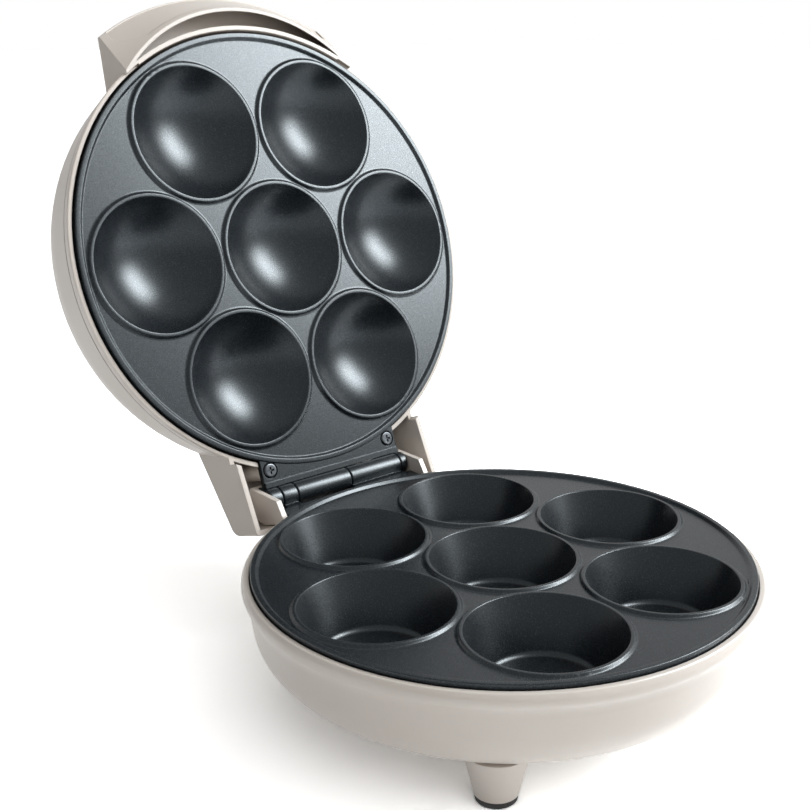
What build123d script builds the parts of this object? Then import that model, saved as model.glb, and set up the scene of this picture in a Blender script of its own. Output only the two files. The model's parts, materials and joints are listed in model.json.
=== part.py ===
from build123d import *
import os
from math import atan2, cos, degrees, radians, sin, sqrt, tan

# Seven-cup cake maker with a hinged lid, shown open. Lengths in millimetres, +Z up.
# The origin lies on the table under the middle of the base. The handle points to -Y and
# the hinge to +Y. Base pieces are drawn with z = 0 at the lower plate's rim, lid pieces
# in the same frame with the lid closed. Placing them lifts the base onto its feet and
# swings the lid open about the hinge pin. A drop is measured down from z = 0, a lift up.

# Overlap of pieces that are merged, and the excess of cutters past what they cut
lap = 0.5
past = 1.0

# Driving dimensions of the whole
cup_rim_radius = 31.1
cup_rim_gap = 5.1
plate_margin = 6.6
leg_height = 17.9
open_angle = 108.65
plate_gap = 0.4

# Cups, domes and the rounded beads round their mouths
cup_depth = 23.0
cup_taper_run = 8.5
cup_floor_fillet = 3.0
dome_depth = 17.0
bead_width = 3.2
bead_height = 1.3
bead_crown_width = 0.8
bead_root = 0.4
cup_corner_share = 0.6
cup_slant_share = 0.9

# Cooking plates
plate_radius_difference = 0.5
plate_rim_width = 2.2
plate_rim_slope = 1.2
plate_rim_fillet = 0.8
plate_step = 1.4
lower_plate_wall = 3.2
upper_plate_wall = 1.7
lower_cup_wall = 2.8
dome_wall = 1.6
skirt_drop = 6.0
skirt_wall = 2.2

# Base housing
base_wall = 2.8
base_edge_drop = 2.2
base_edge_width = 2.5
base_edge_round = 0.7
base_lip_bulge = 1.35
base_lip_bulge_drop = 2.8
base_lip_height = 6.2
base_neck_inset = 1.2
base_neck_height = 4.8
base_neck_sweep = 0.3
base_turn_radius = 22.3
base_taper = 8.0
base_room = 12.4
plate_side_gap = 0.6
plate_under_gap = 0.3
base_shelf_gap = 3.5

# Legs and feet
leg_inset = 21.0
leg_top_radius = 13.0
leg_tip_radius = 8.7
leg_root = 3.2
leg_wall = 2.6
pad_radius = 8.2
pad_height = 3.0
pad_fillet = 0.8
pad_stem_radius = 3.0
pad_stem_length = 6.0
pad_stem_clearance = 0.1

# Lid housing
lid_edge_lift = 2.2
lid_edge_width = 3.0
lid_edge_round = 0.7
lid_wall = 2.0
lid_taper = 8.17
lid_side_height = 23.3
lid_flank_radius = 62.0
lid_flank_height = 16.5
lid_shoulder_radius = 16.0
lid_crown_angle = 84.0
lid_seam_lift = 7.5
lid_seam_width = 0.8
lid_seam_depth = 0.5
lid_plate_gap = 0.4
lip_half_angle = 31.5
lip_wall = 2.15

# Handle on the lid's front
handle_height = 20.0
handle_half_width = 62.5
handle_corner_widening = 0.3
handle_root_widening = 2.8
handle_low_reach = 9.0
handle_low_corner_inset = 19.75
handle_high_reach = 20.8
handle_high_corner_reach = 4.0
handle_root_inset = 27.5
handle_wall = 2.4
handle_round = 1.8
panel_inset = 2.6
panel_side_inset = 3.5
panel_depth = 0.6

# Hinge
hinge_reach = 11.0
hinge_z = 0.5
barrel_radius = 5.3
pin_radius = 1.75
pin_clearance = 0.05
pin_end = 0.4
barrel_round = 0.6
knuckle_lengths = (6.2, 8.4, 31.4, 31.1, 4.1)
knuckle_gap = 0.4
flange_inset = 1.0
flange_thickness = 3.0
flange_recess = 0.6
flange_rim_drop = 0.2
lower_flange_gap = 8.2
upper_flange_gap = 6.6
flange_ridge_width = 2.6
flange_ridge_height = 0.9
flange_room = 0.5
flange_web_room = 1.8

# Cheeks of the hinge pocket on the base
ear_gap = 0.6
ear_wall = 2.6
ear_radius = 10.6
ear_top_z = 4.9
ear_root_inset = 18.6
ear_root_drop = 9.5
ear_front_inset = 12.6
ear_toe_inset = 16.8
ear_toe_drop = 1.2
ear_neck_inset = 12.0
ear_heel_inset = 14.5
ear_heel_drop = 7.5
ear_back_angle = -35.0
ear_return = 11.0
ear_return_wall = 2.2
ear_return_end = -72.0

# Hood over the hinge, on the lid's rear
hood_side_gap = 10.7
hood_wall = 2.4
hood_reach = 13.5
hood_back_drop = 8.5
hood_front_drop = 3.7
hood_front_inset = 23.0
hood_root_inset = 46.0
hood_slope = 22.6
hood_rise = 13.6
hood_back_round = 6.0
hood_rail_round = 2.0
hood_trim_clearance = 0.8
recess_clearance = 0.9
recess_side_clearance = 1.4

# Screws
screw_shank_radius = 1.5
screw_hole_clearance = 0.1
screw_head_radius = 3.2
screw_head_height = 2.0
screw_head_round_share = 0.6
cross_length = 3.6
cross_width = 0.9
cross_depth = 1.0
small_shank_radius = 1.2
small_head_radius = 2.4
small_head_height = 1.5
screw_tip_room = 1.0
flange_screw_inset = 4.6
flange_screw_back = 6.9
flange_screw_bite = 10.0
flange_screw_head_height = 1.5
flange_screw_head_clearance = 0.4
flange_boss_radius = 4.5
flange_boss_top = 24.0
counterbore_radius = 3.9
counterbore_depth = 1.0
plate_post_inset = 18.0
plate_post_angles = (60, 120, 240, 300)
plate_post_radius = 4.5
plate_screw_bite = 9.0
base_boss_radius = 6.2
well_radius = 3.8
well_roof = 4.2
shield_screw_bite = 8.0

# Heating elements and their clamps
element_radius = 3.25
element_seat_clearance = 0.05
element_gap_angle = 40.0
element_bend = 6.0
lower_element_drop = 12.0
upper_element_lift = 8.2
element_leg = 6.0
terminal_radius = 1.2
terminal_length = 5.0
seat_rib_half_width = 2.3
clamp_thickness = 1.2
clamp_half_width = 4.0
clamp_post_reach = 16.35
clamp_post_radius = 4.0
clamp_arm_width = 8.0
clamp_angles = (60, 180, 300)
clamp_end_room = 2.0
clamp_screw_bite = 5.0

# Heat shields
lower_shield_wall = 0.8
upper_shield_wall = 0.6
lower_shield_gap = 2.2
shield_floor_inset = 11.0
shield_rim_inset = 6.0
lower_shield_rim_drop = 15.0
upper_shield_gap = 3.9
upper_shield_rim_lift = 13.0
shield_hole_margin = 1.6
shield_corner_share = 0.6

# Thermostats, fuse and terminals
thermostat_radius = 8.0
thermostat_height = 7.5
thermostat_tab_width = 8.0
thermostat_tab_wall = 0.8
thermostat_tab_end = 4.5
thermostat_post_spacing = 12.5
thermostat_post_radius = 2.6
thermostat_post_height = 1.6
thermostat_post_root = 4.0
blade_width = 4.8
blade_wall = 0.8
blade_length = 3.0
blade_spacing = 8.0
fuse_radius = 2.2
fuse_length = 14.0
fuse_grip = 0.05
fuse_clip_mouth_share = 1.1
fuse_inset = 57.0
fuse_clip_width = 6.0
fuse_clip_length = 10.8
fuse_clip_wall = 0.8
fuse_clip_arm_wall = 0.6
block_length = 28.0
block_depth = 13.0
block_height = 7.0
block_inset = 33.06
block_bore_radius = 1.8
block_bore_spacing = 9.0
earth_post_inset = 15.0
earth_post_drop = 18.0
earth_tag_wall = 0.8
earth_tag_radius = 4.0
earth_tag_width = 4.0
earth_tag_length = 14.0
earth_screw_bite = 5.7

# Cord inlet in the base's rear wall
inlet_lift = 12.7
inlet_boss_radius = 8.0
inlet_boss_stand = 0.5
inlet_boss_length = 9.6
inlet_bore_radius = 4.9
bushing_clearance = 0.1
bushing_bore_radius = 3.6
bushing_flange_radius = 6.8
bushing_flange_wall = 1.6

# Lamps on the lid's top
lamp_spacing = 24.0
lamp_inset = 41.5
lens_radius = 4.0
lens_wall = 1.0
lens_flange_radius = 5.2
lens_flange_wall = 0.5
lens_rise = 2.2
lens_clearance = 0.1
lamp_radius = 2.6
lamp_clearance = 0.1
lamp_length = 11.0
lamp_tip_round = 2.08
lamp_tube_wall = 1.4
lamp_tube_length = 14.0
lamp_tube_floor = 2.0
lamp_bar_wall = 2.0
lamp_bar_width = 10.0
lamp_bar_gap = 5.0
lamp_screw_reach = 9.0
lamp_screw_bite = 4.0
lamp_screw_room = 0.5
lamp_pillar_radius = 3.0

# Vents in the bottom
vent_count = 12
vent_inner = 34.0
vent_outer = 50.0
vent_width = 3.0

# Hooks on the upper plate's front and the ledges that they catch
hook_x = 30.0
hook_width = 10.0
hook_wall = 2.0
hook_inset = 12.5
hook_reach = 3.0
hook_height = 8.0
hook_gap = 0.1
ledge_wall = 3.0
ledge_widening = 2.0

# Radii and places that follow from the sizes above
cup_floor_radius = cup_rim_radius - cup_taper_run
cup_ring_radius = 2 * cup_rim_radius + cup_rim_gap
lower_plate_radius = cup_ring_radius + cup_rim_radius + plate_margin
upper_plate_radius = lower_plate_radius - plate_radius_difference
upper_rim_z = plate_gap
lower_floor_z = -plate_step
lower_back_z = lower_floor_z - lower_plate_wall
upper_floor_z = upper_rim_z + plate_step
upper_back_z = upper_floor_z + upper_plate_wall
cup_base_z = -cup_depth - lower_cup_wall
dome_top_z = upper_floor_z - bead_height + dome_depth + dome_wall
hinge_y = lower_plate_radius + hinge_reach
hinge_axis = Axis((0, hinge_y, hinge_z), (1, 0, 0))
hinge_half_length = sum(knuckle_lengths) / 2
flange_half_width = hinge_half_length - flange_inset
lower_flange_reach = hinge_y - lower_flange_gap
upper_flange_reach = hinge_y - upper_flange_gap
lower_flange_top = lower_floor_z - flange_rim_drop
upper_flange_low = upper_rim_z + flange_recess
upper_flange_top = upper_flange_low + flange_thickness
flange_screw_x = flange_half_width - flange_screw_inset
flange_screw_y = upper_flange_reach - flange_screw_back
ear_inner = hinge_half_length + ear_gap
hood_half_width = ear_inner + ear_wall + hood_side_gap
hood_back_y = hinge_y + hood_reach
hood_low_z = hinge_z - hood_back_drop
hood_swing = sqrt(hood_reach**2 + hood_back_drop**2) + recess_clearance

lower_shield_drop = cup_depth + lower_cup_wall + lower_shield_gap
lower_shield_low = -lower_shield_drop - lower_shield_wall
upper_shield_lift = dome_top_z + upper_shield_gap
base_bottom_z = lower_shield_low - base_room
base_floor_z = base_bottom_z + base_wall
rim_height = leg_height - base_bottom_z
base_edge_radius = lower_plate_radius + base_edge_width
base_lip_radius = base_edge_radius + base_lip_bulge
base_neck_radius = base_edge_radius - base_neck_inset
base_lip_foot_z = -base_edge_drop - base_lip_height
base_neck_z = base_lip_foot_z - base_neck_height
base_turn_top_z = base_bottom_z + base_turn_radius * (1 - sin(radians(base_taper)))
base_side_radius = base_neck_radius - (base_neck_z - base_turn_top_z) * tan(radians(base_taper))
leg_circle_radius = lower_plate_radius - leg_inset
leg_low_z = -rim_height + pad_height
leg_top_z = base_bottom_z + leg_root

lid_edge_radius = upper_plate_radius + lid_edge_width
lamp_y = lamp_inset - lid_edge_radius
lamp_screw_x = lamp_spacing / 2 + lamp_screw_reach
lid_side_top = lid_edge_lift + lid_side_height
lid_flank_top = lid_side_top + lid_flank_height

element_circle = cup_ring_radius / 2
lower_clamp_z = -lower_element_drop - element_radius
upper_clamp_z = upper_element_lift + element_radius
clamp_post_circle = element_circle + clamp_post_reach
plate_post_circle = lower_plate_radius - plate_post_inset
thermostat_tab_half = thermostat_post_spacing + thermostat_tab_end
fuse_y = fuse_inset - lower_plate_radius
fuse_z = lower_shield_low - fuse_clip_wall - fuse_grip - fuse_radius
block_y = base_side_radius - block_inset
earth_post_y = lower_plate_radius - earth_post_inset
inlet_z = base_bottom_z + inlet_lift
inlet_back = base_side_radius + inlet_boss_stand
inlet_front = inlet_back - inlet_boss_length
hook_y = -upper_plate_radius + hook_inset
hook_top_z = upper_back_z + hook_height
screw_hole = screw_shank_radius + screw_hole_clearance
small_hole = small_shank_radius + screw_hole_clearance


def on_circle(radius, angle):
    """A place on a circle about the origin, with the angle counted from +Y towards +X."""
    return (radius * sin(radians(angle)), radius * cos(radians(angle)))


cup_places = [(0.0, 0.0)] + [on_circle(cup_ring_radius, 30 + 60 * k) for k in range(6)]
plate_post_places = [on_circle(plate_post_circle, a) for a in plate_post_angles]
clamp_post_places = [on_circle(clamp_post_circle, a) for a in clamp_angles]
leg_places = [on_circle(leg_circle_radius, 45 + 90 * k) for k in range(4)]


def turned(outline):
    """A solid of revolution about Z from an outline drawn as (radius, height)."""
    return revolve(Plane.XZ * make_face(outline), Axis.Z)


def disc(radius, low, high):
    return Pos(0, 0, low) * extrude(Circle(radius), high - low)


def ring(inner, outer, low, high):
    return Pos(0, 0, low) * extrude(Circle(outer) - Circle(inner), high - low)


def post(place, radius, low, high):
    return Pos(place[0], place[1], 0) * disc(radius, low, high)


def block(x0, x1, y0, y1, z0, z1):
    centre = Pos((x0 + x1) / 2, (y0 + y1) / 2, (z0 + z1) / 2)
    return centre * Box(x1 - x0, y1 - y0, z1 - z0)


def side_prism(outline, x0, x1):
    """An outline drawn as (y, z), extruded along X from x0 to x1."""
    return Plane((x0, 0, 0), x_dir=(0, 1, 0), z_dir=(1, 0, 0)) * extrude(make_face(outline), x1 - x0)


def x_rod(radius, x0, x1, y=hinge_y, z=hinge_z):
    return Plane((x0, y, z), x_dir=(0, 1, 0), z_dir=(1, 0, 0)) * extrude(Circle(radius), x1 - x0)


def on_arc(centre, radius, angle):
    return (centre[0] + radius * cos(angle), centre[1] + radius * sin(angle))


def merged(shapes):
    total = shapes[0]
    for shape in shapes[1:]:
        total = total + shape
    return total


def placed_base(shape):
    return shape.moved(Location((0, 0, rim_height)))


def placed_lid(shape):
    return shape.rotate(hinge_axis, -open_angle).moved(Location((0, 0, rim_height)))


def pan_screw(length, head_radius=screw_head_radius, head=screw_head_height, shank=screw_shank_radius):
    """A screw with its head's seat at z = 0, the shank along +Z and the head below."""
    dome = Pos(0, 0, -head) * extrude(Circle(head_radius), head)
    dome = fillet(dome.edges().sort_by(Axis.Z)[0], head * screw_head_round_share)
    body = dome + extrude(Circle(shank), length)
    arm = Pos(0, 0, -head) * Box(cross_length, cross_width, 2 * cross_depth)
    return body - arm - Rot(0, 0, 90) * arm


def small_screw(length):
    return pan_screw(length, small_head_radius, small_head_height, small_shank_radius)


# Cooking plates

def cup_bead(top, floor):
    """The bead round a cup's mouth: a narrow crown that slopes to the plate's floor."""
    outer = cup_rim_radius + bead_width
    crown = cup_rim_radius + bead_crown_width
    root = floor + bead_root * (1 if top < floor else -1)
    return turned(Polyline(
        (cup_rim_radius, root),
        (outer, root),
        (outer, floor),
        (crown, top),
        (cup_rim_radius, top),
        close=True,
    ))


def cup_solid(offset, top):
    """A tapered cup with a flat floor: the hollow itself, or its outside when offset."""
    mouth = cup_rim_radius + offset + top * cup_taper_run / cup_depth
    floor = -cup_depth - offset
    floor_radius = cup_floor_radius + offset * cup_slant_share
    face = make_face(Polyline((0, top), (mouth, top), (floor_radius, floor), (0, floor), close=True))
    corner = face.vertices().sort_by(Axis.Y)[:2].sort_by(Axis.X)[-1]
    face = fillet(corner, cup_floor_fillet + offset * cup_corner_share)
    return revolve(Plane.XZ * face, Axis.Z)


def dome_solid(offset, low):
    """A spherical cap above the plane z = low: the dome's hollow, or its outside when offset."""
    mouth_z = upper_floor_z - bead_height
    sphere_radius = (cup_rim_radius**2 + dome_depth**2) / (2 * dome_depth)
    centre_z = mouth_z + dome_depth - sphere_radius
    radius = sphere_radius + offset
    start = sqrt(radius**2 - (low - centre_z) ** 2)
    half = atan2(start, low - centre_z) / 2
    middle = (radius * sin(half), centre_z + radius * cos(half))
    outline = (
        Line((0, low), (start, low))
        + ThreePointArc((start, low), middle, (0, centre_z + radius))
        + Line((0, centre_z + radius), (0, low))
    )
    return turned(outline)


def knuckles(owner):
    """Spans along X: the lid holds the first, third and last barrel, the base the others."""
    spans = []
    start = -hinge_half_length
    for k, length in enumerate(knuckle_lengths):
        low = start + (knuckle_gap / 2 if k > 0 else 0)
        high = start + length - (knuckle_gap / 2 if k < len(knuckle_lengths) - 1 else 0)
        if (k % 2 == 0) == (owner == "lid"):
            spans.append((low, high))
        start += length
    return spans


def plate_section(rim_z, floor_z, back_z, outer):
    """Half of a plate's section: a flat floor, a raised rim and the skirt behind the rim."""
    side = 1 if floor_z > rim_z else -1
    rim_inner = outer - plate_rim_width
    skirt_end = rim_z + side * skirt_drop
    face = make_face(Polyline(
        (0, floor_z),
        (rim_inner - plate_rim_slope, floor_z),
        (rim_inner, rim_z),
        (outer, rim_z),
        (outer, skirt_end),
        (outer - skirt_wall, skirt_end),
        (outer - skirt_wall, back_z),
        (0, back_z),
        close=True,
    ))
    corner = face.vertices().sort_by(Axis.X)[-2:].sort_by(Axis.Y)[-1 if side < 0 else 0]
    face = fillet(corner, plate_rim_fillet)
    return revolve(Plane.XZ * face, Axis.Z)


def hinge_flange(outer, reach, low):
    """The flat tongue between a plate's rim and its hinge barrels."""
    high = low + flange_thickness
    tongue = block(-flange_half_width, flange_half_width, cup_ring_radius, reach, low, high)
    return tongue - disc(outer - plate_rim_width, low - past, high + past)


def barrels(owner, reach, web_low):
    """The barrels of one hinge leaf, each with a web back to its flange."""
    pieces = []
    for x0, x1 in knuckles(owner):
        barrel = x_rod(barrel_radius, x0, x1)
        barrel = fillet(barrel.edges().filter_by(GeomType.CIRCLE), barrel_round)
        web = block(x0, x1, reach - past, hinge_y, web_low, web_low + flange_thickness)
        pieces += [web, barrel]
    return pieces


def lower_cooking_plate():
    plate = plate_section(0, lower_floor_z, lower_back_z, lower_plate_radius)
    cup = cup_solid(lower_cup_wall, lower_floor_z - lap)
    cup += cup_bead(lower_floor_z + bead_height, lower_floor_z)
    hollow = cup_solid(0, past)
    plate = merged([plate] + [Pos(x, y, 0) * cup for x, y in cup_places])
    root = lower_back_z + lap
    rib = ring(element_circle - seat_rib_half_width, element_circle + seat_rib_half_width,
               -lower_element_drop, root)
    plate += rib - torus_at(element_radius + element_seat_clearance, -lower_element_drop)
    plate += [post(p, clamp_post_radius, lower_clamp_z, root) for p in clamp_post_places]
    plate += [post(p, plate_post_radius, -lower_shield_drop, root) for p in plate_post_places]
    earth_place = (0, earth_post_y)
    plate += post(earth_place, clamp_post_radius, -earth_post_drop, root)
    post_low = cup_base_z - thermostat_post_height
    tab_places = [(side * thermostat_post_spacing, 0) for side in (-1, 1)]
    plate += [post(p, thermostat_post_radius, post_low, cup_base_z + lap) for p in tab_places]
    plate += hinge_flange(lower_plate_radius, lower_flange_reach, lower_flange_top - flange_thickness)
    plate += barrels("base", lower_flange_reach, hinge_z - barrel_radius)
    plate -= [Pos(x, y, 0) * hollow for x, y in cup_places]
    screw_depth = plate_screw_bite + screw_tip_room
    plate -= [post(p, screw_hole, -lower_shield_drop - past, -lower_shield_drop + screw_depth)
              for p in plate_post_places]
    screw_depth = clamp_screw_bite + screw_tip_room
    plate -= [post(p, small_hole, lower_clamp_z - past, lower_clamp_z + screw_depth)
              for p in clamp_post_places]
    plate -= [post(p, small_hole, post_low - past, cup_base_z + lap) for p in tab_places]
    screw_depth = earth_screw_bite + screw_tip_room
    plate -= post(earth_place, small_hole, -earth_post_drop - past, -earth_post_drop + screw_depth)
    plate -= x_rod(pin_radius + pin_clearance, -hinge_half_length - past, hinge_half_length + past)
    return plate


def torus_at(minor, height):
    return Pos(0, 0, height) * Torus(element_circle, minor)


def upper_cooking_plate():
    plate = plate_section(upper_rim_z, upper_floor_z, upper_back_z, upper_plate_radius)
    cup = dome_solid(dome_wall, upper_floor_z + lap)
    cup += cup_bead(upper_floor_z - bead_height, upper_floor_z)
    hollow = dome_solid(0, upper_rim_z - past)
    plate = merged([plate] + [Pos(x, y, 0) * cup for x, y in cup_places])
    root = upper_back_z - lap
    rib = ring(element_circle - seat_rib_half_width, element_circle + seat_rib_half_width,
               root, upper_element_lift)
    plate += rib - torus_at(element_radius + element_seat_clearance, upper_element_lift)
    plate += [post(p, clamp_post_radius, root, upper_clamp_z) for p in clamp_post_places]
    plate += [post(p, plate_post_radius, root, upper_shield_lift) for p in plate_post_places]
    post_high = dome_top_z + thermostat_post_height
    tab_places = [(side * thermostat_post_spacing, 0) for side in (-1, 1)]
    post_low = dome_top_z - thermostat_post_root
    plate += [post(p, thermostat_post_radius, post_low, post_high) for p in tab_places]
    plate += hinge_flange(upper_plate_radius, upper_flange_reach, upper_flange_low)
    plate += block(-flange_half_width, flange_half_width, upper_flange_reach - flange_ridge_width,
                   upper_flange_reach, upper_flange_low - flange_ridge_height, upper_flange_low + lap)
    plate += barrels("lid", upper_flange_reach, hinge_z + barrel_radius - flange_thickness)
    plate += [plate_hook(side) for side in (-1, 1)]
    plate -= [Pos(x, y, 0) * hollow for x, y in cup_places]
    for side in (-1, 1):
        place = (side * flange_screw_x, flange_screw_y)
        low = upper_flange_low - past
        plate -= post(place, screw_hole, low, upper_flange_top + past)
        plate -= post(place, counterbore_radius, low, upper_flange_low + counterbore_depth)
    screw_depth = shield_screw_bite + screw_tip_room
    plate -= [post(p, small_hole, upper_shield_lift - screw_depth, upper_shield_lift + past)
              for p in plate_post_places]
    screw_depth = clamp_screw_bite + screw_tip_room
    plate -= [post(p, small_hole, upper_clamp_z - screw_depth, upper_clamp_z + past)
              for p in clamp_post_places]
    plate -= [post(p, small_hole, dome_top_z - lap, post_high + past) for p in tab_places]
    plate -= x_rod(pin_radius + pin_clearance, -hinge_half_length - past, hinge_half_length + past)
    return plate


def plate_hook(side):
    """A hook behind the upper plate's front that holds it to a ledge in the lid."""
    x0 = side * hook_x - hook_width / 2
    x1 = side * hook_x + hook_width / 2
    stem = block(x0, x1, hook_y, hook_y + hook_wall, upper_back_z - lap, hook_top_z)
    return stem + block(x0, x1, hook_y - hook_reach, hook_y, hook_top_z - hook_wall, hook_top_z)


# Base housing, feet and cord inlet

def base_body(offset):
    """The bowl of the base, or the hollow inside it when offset inwards."""
    taper = radians(base_taper)
    centre = (base_side_radius - base_turn_radius * cos(taper), base_bottom_z + base_turn_radius)
    turn = base_turn_radius - offset
    start = (centre[0], centre[1] - turn)
    middle = on_arc(centre, turn, (-radians(90) - taper) / 2)
    end = on_arc(centre, turn, -taper)
    if offset:
        inner = lower_plate_radius + plate_side_gap
        shelf = -skirt_drop - base_shelf_gap
        upper = Polyline(
            end,
            (base_neck_radius - offset, base_neck_z),
            (inner, shelf),
            (inner, past),
            (0, past),
            (0, start[1]),
        )
        return turned(Line((0, start[1]), start) + ThreePointArc(start, middle, end) + upper)
    neck = (base_neck_radius, base_neck_z)
    foot = ((base_neck_radius + base_lip_radius) / 2, base_lip_foot_z)
    sweep = ((neck[0] + foot[0]) / 2 - base_neck_sweep, (neck[1] + foot[1]) / 2)
    edge = (base_edge_radius, -base_edge_drop)
    outline = (
        Line((0, start[1]), start)
        + ThreePointArc(start, middle, end)
        + Line(end, neck)
        + ThreePointArc(neck, sweep, foot)
        + ThreePointArc(foot, (base_lip_radius, -base_edge_drop - base_lip_bulge_drop), edge)
        + Polyline(edge, (0, -base_edge_drop), (0, start[1]))
    )
    body = turned(outline)
    return fillet(body.edges().filter_by(GeomType.CIRCLE).sort_by(Axis.Z)[-1], base_edge_round)


def about_hinge(radius, angle):
    """A point (y, z) round the hinge pin, with the angle in degrees from +Y towards +Z."""
    return on_arc((hinge_y, hinge_z), radius, radians(angle))


def hinge_ear(side):
    """One cheek of the hinge pocket, with the curved return behind the barrels."""
    back_top = degrees(atan2(ear_top_z - hinge_z, sqrt(ear_radius**2 - (ear_top_z - hinge_z) ** 2)))
    foot = about_hinge(ear_radius, -open_angle)
    neck_y = hinge_y - ear_neck_inset
    neck_z = foot[1] + (foot[0] - neck_y) * tan(radians(open_angle - 90))
    outline = (
        Polyline(
            (hinge_y - ear_root_inset, -ear_root_drop),
            (hinge_y - ear_root_inset, -base_edge_drop),
            (hinge_y - ear_toe_inset, -ear_toe_drop),
            (hinge_y - ear_front_inset, ear_top_z),
            about_hinge(ear_radius, back_top),
        )
        + ThreePointArc(about_hinge(ear_radius, back_top), about_hinge(ear_radius, ear_back_angle), foot)
        + Polyline(
            foot,
            (neck_y, neck_z),
            (hinge_y - ear_heel_inset, -ear_heel_drop),
            (hinge_y - ear_root_inset, -ear_root_drop),
        )
    )
    low, high = sorted((side * ear_inner, side * (ear_inner + ear_wall)))
    ear = side_prism(outline, low, high)
    inner = ear_radius - ear_return_wall
    middle = (back_top + ear_return_end) / 2
    band = (
        ThreePointArc(about_hinge(ear_radius, back_top), about_hinge(ear_radius, middle),
                      about_hinge(ear_radius, ear_return_end))
        + Line(about_hinge(ear_radius, ear_return_end), about_hinge(inner, ear_return_end))
        + ThreePointArc(about_hinge(inner, ear_return_end), about_hinge(inner, middle),
                        about_hinge(inner, back_top))
        + Line(about_hinge(inner, back_top), about_hinge(ear_radius, back_top))
    )
    low, high = sorted((side * (ear_inner + lap), side * (ear_inner - ear_return)))
    return ear + side_prism(band, low, high)


def leg(place):
    """A conical leg that tapers to its foot."""
    cone = Cone(leg_tip_radius, leg_top_radius, leg_top_z - leg_low_z)
    return Pos(place[0], place[1], (leg_low_z + leg_top_z) / 2) * cone


def leg_hollow(place):
    """The room inside a leg, open to the base, with the bore for the foot's stem."""
    low = leg_low_z + leg_wall
    top = leg_top_z + past
    inner = Cone(leg_tip_radius - leg_wall, leg_top_radius - leg_wall, top - low)
    bore = post(place, pad_stem_radius + pad_stem_clearance, leg_low_z - past, low + past)
    return Pos(place[0], place[1], (low + top) / 2) * inner + bore


def base_housing():
    reach = hood_half_width + recess_side_clearance
    recess = x_rod(hood_swing, -reach, reach)
    recess_back = x_rod(hood_swing + base_wall, -reach - base_wall, reach + base_wall)
    outer = base_body(0) - recess
    outer += [leg(p) for p in leg_places]
    housing = outer - (base_body(base_wall) - recess_back)
    bosses = [post(p, base_boss_radius, base_bottom_z, lower_shield_low) for p in plate_post_places]
    housing += merged(bosses) & base_body(0)
    inlet = Pos(0, inlet_back, inlet_z) * Rot(90, 0, 0)
    housing += inlet * disc(inlet_boss_radius, 0, inlet_boss_length)
    housing += [hinge_ear(side) for side in (-1, 1)]
    housing -= plate_room()
    housing -= [post(p, screw_hole, base_bottom_z - past, lower_shield_low + past)
                for p in plate_post_places]
    housing -= [post(p, well_radius, base_bottom_z - past, lower_shield_low - well_roof)
                for p in plate_post_places]
    housing -= [leg_hollow(p) for p in leg_places]
    housing -= inlet * disc(inlet_bore_radius, -past, inlet_boss_length + past)
    slot = extrude(SlotOverall(vent_outer - vent_inner, vent_width), base_wall + 2 * past)
    slot = Pos((vent_inner + vent_outer) / 2, 0, base_bottom_z - past) * slot
    housing -= [Rot(0, 0, 360 / vent_count * (k + 0.5)) * slot for k in range(vent_count)]
    return housing


def plate_room():
    """The seat of the lower plate in the housing, with the room for its skirt and its flange."""
    above = ear_top_z + past
    seat = lower_plate_radius + plate_side_gap
    skirt_inner = lower_plate_radius - skirt_wall - plate_under_gap
    room = disc(seat, lower_back_z - plate_under_gap, above)
    room += ring(skirt_inner, seat, -skirt_drop - plate_under_gap, above)
    half = flange_half_width + flange_room
    room += block(-half, half, cup_ring_radius, lower_flange_reach + flange_room,
                  lower_flange_top - flange_thickness - flange_room, above)
    return room


def rubber_feet():
    feet = []
    for x, y in leg_places:
        pad = disc(pad_radius, -rim_height, leg_low_z)
        pad = fillet(pad.edges().sort_by(Axis.Z)[0], pad_fillet)
        pad += disc(pad_stem_radius, leg_low_z - lap, leg_low_z + pad_stem_length)
        feet.append(Pos(x, y, 0) * pad)
    return feet


def cord_inlet_bushing():
    """A flanged sleeve that lines the hole where a supply cord would enter."""
    sleeve = disc(inlet_bore_radius - bushing_clearance, -bushing_flange_wall, inlet_boss_length)
    flange = disc(bushing_flange_radius, -bushing_flange_wall, 0)
    bore = disc(bushing_bore_radius, -bushing_flange_wall - past, inlet_boss_length + past)
    return Pos(0, inlet_back, inlet_z) * Rot(90, 0, 0) * (sleeve + flange - bore)


# Heating elements, clamps and shields

def heating_element(height, side):
    """A tubular ring with both ends turned away from the plate; side is -1 down, +1 up."""
    arc = CenterArc((0, 0, height), element_circle, 90 + element_gap_angle / 2, 360 - element_gap_angle)
    away = Vector(0, 0, side * element_bend)
    first, last = arc @ 0, arc @ 1
    lead_in = -(arc % 0)
    lead_out = arc % 1
    turn_in_end = first + lead_in * element_bend + away
    turn_out_end = last + lead_out * element_bend + away
    leg_run = Vector(0, 0, side * element_leg)
    path = Wire([
        Line(turn_in_end + leg_run, turn_in_end).edge(),
        TangentArc(first, turn_in_end, tangent=lead_in).edge(),
        arc.edge(),
        TangentArc(last, turn_out_end, tangent=lead_out).edge(),
        Line(turn_out_end, turn_out_end + leg_run).edge(),
    ])
    start = turn_in_end + leg_run
    element = sweep(Plane(start, z_dir=(0, 0, -side)) * Circle(element_radius), path=path)
    for end in (turn_in_end, turn_out_end):
        z0 = end.Z + side * (element_leg - lap)
        z1 = end.Z + side * (element_leg + terminal_length)
        element += post((end.X, end.Y), terminal_radius, min(z0, z1), max(z0, z1))
    return element


def element_end_places():
    """Where the two ends of an element pass through its heat shield."""
    half = radians(element_gap_angle / 2)
    x = element_circle * sin(half) - element_bend * cos(half)
    y = element_circle * cos(half) + element_bend * sin(half)
    return [(-x, y), (x, y)]


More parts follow.
